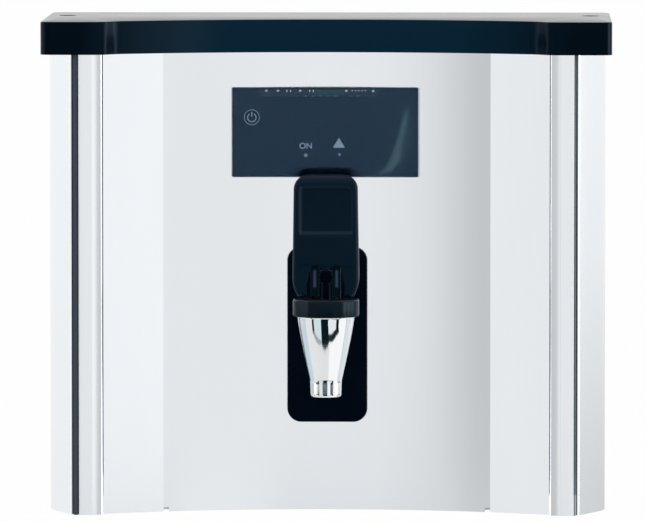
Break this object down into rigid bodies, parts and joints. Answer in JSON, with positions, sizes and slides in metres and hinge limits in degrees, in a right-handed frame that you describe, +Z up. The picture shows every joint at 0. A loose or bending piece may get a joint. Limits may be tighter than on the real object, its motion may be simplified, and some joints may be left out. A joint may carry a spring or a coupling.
{
  "type": "wall mounted water boiler",
  "caption": "Wall-hung automatic water boiler: folded stainless casing with a concave front, black moulded lid, touch display window and a sprung chrome tap with a pull-forward lever.",
  "frame": {"origin": "the point of the wall face midway between the two upper keyholes", "axes": "+Z up, +Y out of the back into the wall, so the front faces -Y; +X to the right as seen from the front"},
  "size_m": [0.4, 0.1891, 0.3465],
  "materials": {
    "stainless": "vertical fine brush, satin",
    "lid_black": "high gloss blue-black moulding",
    "seal_rubber": "matt strip",
    "window_glass": "clear gloss panel",
    "overlay_film": "dark printed film behind the window",
    "black_plastic": "semi-gloss black moulding",
    "circuit_board": "green solder mask",
    "chrome": "polished plate",
    "steel": "plain bright steel",
    "silicone": "translucent white silicone",
    "insulation": "closed-cell foam",
    "zinc": "bare zinc-plated sheet",
    "white_nylon": "natural nylon",
    "coil_black": "moulded black",
    "brass": "machined",
    "red_plastic": "moulded red"
  },
  "bodies": {
    "casing": {"front_cover": "stainless", "corner_post_left": "stainless", "corner_post_right": "stainless", "side_panel_left": "stainless", "side_panel_right": "stainless", "seal_strip_left": "seal_rubber", "seal_strip_right": "seal_rubber", "back_panel": "zinc", "base_plate": "zinc", "lid": "lid_black", "lid_screw_left": "steel", "lid_screw_right": "steel", "lid_bracket_left": "zinc", "lid_bracket_right": "zinc", "display_window": "window_glass", "display_overlay": "overlay_film", "display_housing": "black_plastic", "display_board": "circuit_board", "tap_backplate": "black_plastic", "tap_body": "chrome", "tap_bonnet": "black_plastic", "seat_cup": "silicone", "tap_spring": "steel", "shank_washer": "silicone", "shank_nut": "brass", "outlet_sleeve": "silicone", "tank": "stainless", "tank_gasket": "silicone", "tank_lid": "stainless", "insulation_jacket": "insulation", "tank_bracket_left": "zinc", "tank_bracket_right": "zinc", "drain_plug": "silicone", "element_gasket": "silicone", "heating_element": "steel", "element_nut": "brass", "probe_block": "white_nylon", "level_probe_low": "steel", "level_probe_normal": "steel", "level_probe_high": "steel", "temperature_probe": "brass", "inlet_valve_body": "white_nylon", "valve_spring": "steel", "inlet_valve_coil": "coil_black", "fill_hose": "silicone", "vent_pipe": "silicone", "thermal_cutout": "coil_black", "reset_spring": "steel", "cable_gland": "coil_black", "board_bracket": "zinc", "main_board": "circuit_board", "terminal_block": "white_nylon"},
    "stem": {"tap_stem": "coil_black", "lever_pin": "coil_black"},
    "lever": {"tap_lever": "black_plastic"},
    "reset": {"reset_button": "red_plastic"},
    "plunger": {"valve_plunger": "steel"}
  },
  "joints": [
    {"name": "stem_lift", "type": "slide", "parent": "casing", "child": "stem", "axis": [0, 0, 1], "range_m": [0, 0.003], "stiffness_N_per_m": 400, "springref_m": -0.02, "deforming": ["seat_cup", "tap_spring"]},
    {"name": "lever_pull", "type": "hinge", "parent": "stem", "child": "lever", "pos_m": [0, -0.166, -0.13195], "axis": [1, 0, 0], "range_deg": [0, 35.05]},
    {"name": "reset_press", "type": "slide", "parent": "casing", "child": "reset", "axis": [0, 0, 1], "range_m": [0, 0.002], "stiffness_N_per_m": 100, "springref_m": -0.003, "deforming": ["reset_spring"]},
    {"name": "valve_lift", "type": "slide", "parent": "casing", "child": "plunger", "axis": [0, 0, 1], "range_m": [0, 0.0025], "stiffness_N_per_m": 300, "springref_m": -0.004, "deforming": ["valve_spring"]}
  ],
  "couplings": [
    {"joint": "lever_pull", "follows": "stem_lift", "rad_per_m": 203.62}
  ]
}
